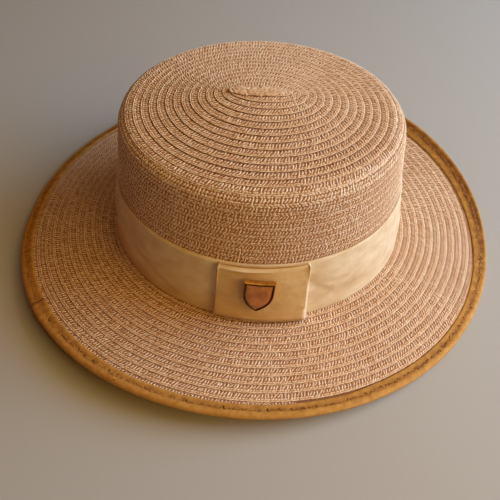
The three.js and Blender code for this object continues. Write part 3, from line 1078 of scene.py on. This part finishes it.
bow_satin = satin_finish("bow_satin", (202, 165, 107), (232, 208, 163))
bow_points, bow_fold_light_and_shade = bow_rows()
bow = ring_mesh("ribbon_bow", bow_points, bow_satin)
mark(bow, "fold_light_and_shade", bow_fold_light_and_shade)
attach(bow, "root")
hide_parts("bow_loop")

# Badge
# A small cast bronze shield with gilt sides and a raised dark rim round a field of amber enamel. A post
# riveted behind the ribbon holds it on the bow.
badge_half = 0.0093
badge_tall = 0.0255
badge_up = 0.0289
badge_side = -0.0025
badge_turn = math.radians(-4)
badge_rim = 0.0017
badge_floor = 0.0024
badge_top_dip = 0.0006
badge_gilt = 0.0031
badge_sharp_edge = math.radians(50)
badge_rings = [
    # inset from the outline, height off the back
    (0.0002, 0.0), (0.0, 0.0003), (0.0, 0.0027), (0.0002, 0.0031), (0.0006, 0.0034), (0.0011, 0.0034),
    (0.0015, 0.0032), (badge_rim, 0.0029), (badge_rim, badge_floor),
]
enamel_rings = [(0.0, 0.0), (0.0, 0.0004), (0.0003, 0.00052), (0.002, 0.0006), (0.005, 0.00066)]
post_radius = 0.001
rivet_radius = 0.003
rivet_thickness = 0.0008
rivet_front = -2 * gap - ribbon_wall


def shield_line(inset):
    """The shield's outline, counter-clockwise from the point at its foot."""
    half = badge_half - inset
    top = badge_tall / 2 - inset
    foot = -badge_tall / 2 + 1.3 * inset
    up = badge_tall / 8
    flank = bezier([(0, foot), (0.62 * half, 0.72 * foot), (half, 0.34 * foot), (half, up)], 25)
    side = bezier([(half, up), (half, top)], 7)
    brow = bezier([(half, top), (0, top - 2 * badge_top_dip), (-half, top)], 25)
    right = np.vstack([flank, side[1:]])
    left = right[::-1] * [-1, 1]
    return np.vstack([right, brow[1:-1], left[:-1]])


def bow_face(height):
    """How far the middle of the bow's front stands out from the crown."""
    return bow_back + bow_depth + bow_bulge((height - bow_foot) / (bow_top - bow_foot))


def badge_matrix():
    """Where the badge sits: x along the bow, y up it, z out of it."""
    reach = [side_radius(height) + bow_face(height) for height in (bow_foot, bow_top, badge_up)]
    lean = math.atan2(reach[0] - reach[1], bow_top - bow_foot)
    length = crown_stretch + reach[2]
    turn = math.atan(math.tan((bow_side + badge_side) / length) * reach[2] / length)
    spot = front_points(np.full(1, badge_side), badge_up, bow_face(badge_up) + gap)[0]
    facing = Matrix.Rotation(turn, 4, "Z") @ Matrix.Rotation(math.pi / 2 - lean, 4, "X")
    return Matrix.Translation(spot) @ facing @ Matrix.Rotation(badge_turn, 4, "Z")


def at_height(line, height):
    """A flat line of points, raised to a height."""
    return np.c_[line, np.full(len(line), height)]


def shield_rings(table, inset, base):
    return [at_height(shield_line(inset + i), base + h) for i, h in table]


def rod_rings(radius, back, front):
    turn = round_bearings(24)
    line = np.c_[radius * np.cos(turn), radius * np.sin(turn)]
    return [at_height(line, back), at_height(line, front)]


def badge_piece(name, bodies, finish):
    """Several closed bodies on the bow's front, as one mesh."""
    points, faces = [], []
    for rings in bodies:
        body_points, body_faces = stacked(rings)
        shift = sum(len(p) for p in points)
        points.append(body_points)
        faces += [[corner + shift for corner in face] for face in body_faces]
    points = np.vstack(points)
    made = mesh_piece(name, points, faces, finish)
    mark(made, "gilt", (points[:, 2] <= badge_gilt) * 1.0)
    made.data.transform(badge_matrix())
    made.data.set_sharp_from_angle(angle=badge_sharp_edge)
    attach(made, "root")
    return made


def bronze_finish():
    """Cast bronze: dark with age on its face, and gilt down its sides."""
    made, tree = new_finish("dark_bronze", 0.35, 0.5, Metallic=0.85)
    age = noise(tree, 350.0, 4.0)
    face = ramp_of(tree, age, [(0.3, 34, 20, 10), (0.75, 84, 54, 24)])
    sides = ramp_of(tree, age, [(0.3, 176, 118, 42), (0.75, 226, 176, 88)])
    return finished(made, mix_colours(tree, attribute(tree, "gilt"), face, sides))


def enamel_finish():
    """Amber enamel, a little clouded, under a clear gloss."""
    made, tree = new_finish("amber_enamel", 0.25, 0.5, **{"Coat Weight": 0.6})
    depth = noise(tree, 160.0, 3.0)
    return finished(made, ramp_of(tree, depth, [(0.3, 152, 88, 26), (0.75, 208, 138, 58)]))


badge_shield = badge_piece(
    "badge_shield",
    [
        shield_rings(badge_rings, 0.0, 0.0),
        rod_rings(post_radius, rivet_front, 0.0),
        rod_rings(rivet_radius, rivet_front - rivet_thickness, rivet_front),
    ],
    bronze_finish(),
)
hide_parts("badge")
badge_enamel = badge_piece(
    "badge_enamel",
    [shield_rings(enamel_rings, badge_rim + gap / 2, badge_floor + gap / 2)],
    enamel_finish(),
)
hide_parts("badge_field")

# Floor, light and camera
# A pale matt floor in a dim warm room. Three strong soft lights stand at the right: a window, the blue sky
# and the warm room. Three weak warm ones are above, left and in front. The camera looks down on the bow.
floor_reach = 3
floor_corners = [(x * floor_reach, y * floor_reach, 0) for x, y in ((-1, -1), (1, -1), (1, 1), (-1, 1))]
pale_floor, _ = new_finish("pale_floor", 0.9, 0.5, **{"Base Color": tone(178, 183, 188)})
floor = mesh_piece("floor", floor_corners, [(0, 1, 2, 3)], pale_floor)

world = bpy.data.worlds.new("soft_room")
bpy.context.scene.world = world
world.use_nodes = True
background = world.node_tree.nodes["Background"]
background.inputs["Color"].default_value = (1.0, 0.5, 0.15, 1.0)
background.inputs["Strength"].default_value = 0.01

hat_middle = Vector((0, 0, 0.05))
soft_lights = [
    # name, place, size, power and colour
    ("window", (1.00, 0.16, 0.74), 0.9, 9.8, (1.0, 0.95, 0.85)),
    ("sky", (1.10, 0.05, 0.34), 0.8, 9.5, (0.2, 0.54, 1.0)),
    ("room", (0.85, -0.60, 0.75), 0.9, 9.2, (1.0, 0.55, 0.12)),
    ("ceiling", (0.1, 0.1, 1.2), 0.9, 2.4, (1.0, 0.68, 0.34)),
    ("wall", (-1.1, -0.2, 0.6), 0.9, 1.0, (1.0, 0.14, 0.0)),
    ("front", (0.1, -1.1, 0.35), 0.8, 0.35, (1.0, 0.6, 0.1)),
]
for name, place, size, power, colour in soft_lights:
    lamp = bpy.data.lights.new(name, "AREA")
    lamp.shape = "SQUARE"
    lamp.size = size
    lamp.energy = power
    lamp.color = colour
    light = in_scene(name, lamp)
    light.location = place
    light.rotation_euler = (hat_middle - Vector(place)).to_track_quat("-Z", "Y").to_euler()

camera_place = (-0.0012, -0.2995, 0.3500)
camera_yaw, camera_pitch, camera_roll = -0.010, -0.900, 0.041
photo_focus = 620.0
photo_width = 500.0
film_width = 36
lens = bpy.data.cameras.new("photo_camera")
lens.sensor_width = film_width
lens.lens = photo_focus * film_width / photo_width
lens.clip_start = 0.01
camera = in_scene("photo_camera", lens)
camera.matrix_world = (
    Matrix.Translation(camera_place)
    @ Matrix.Rotation(-camera_yaw, 4, "Z")
    @ Matrix.Rotation(math.pi / 2 + camera_pitch, 4, "X")
    @ Matrix.Rotation(camera_roll, 4, "Z")
)
bpy.context.scene.camera = camera

bpy.context.scene.view_settings.view_transform = "Standard"
